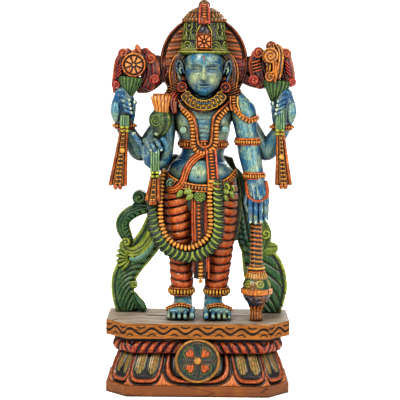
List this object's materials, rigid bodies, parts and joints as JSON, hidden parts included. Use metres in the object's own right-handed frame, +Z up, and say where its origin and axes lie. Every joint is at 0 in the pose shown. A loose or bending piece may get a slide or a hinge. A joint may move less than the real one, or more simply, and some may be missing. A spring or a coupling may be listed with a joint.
{
  "type": "vishnu figure on plinth",
  "caption": "Carved and painted wooden figure of a standing four-armed deity with halo, mace, garland and side scrolls, on a lotus-moulded plinth.",
  "frame": {"origin": "middle of the plinth's flat underside", "axes": "+Z up through the crown, -Y towards the viewer who faces the statue, +X to that viewer's right"},
  "size_m": [0.2936, 0.13, 0.6104],
  "materials": {
    "painted_plinth_wood": "carved wood, antiqued orange, red and dark green paint, semi-gloss, brown in the grooves",
    "painted_figure_wood": "carved wood, antiqued blue, orange, red, green and yellow paint, semi-gloss, black-brown in the grooves"
  },
  "bodies": {
    "root": {"plinth": "painted_plinth_wood", "figure": "painted_figure_wood"}
  },
  "joints": []
}
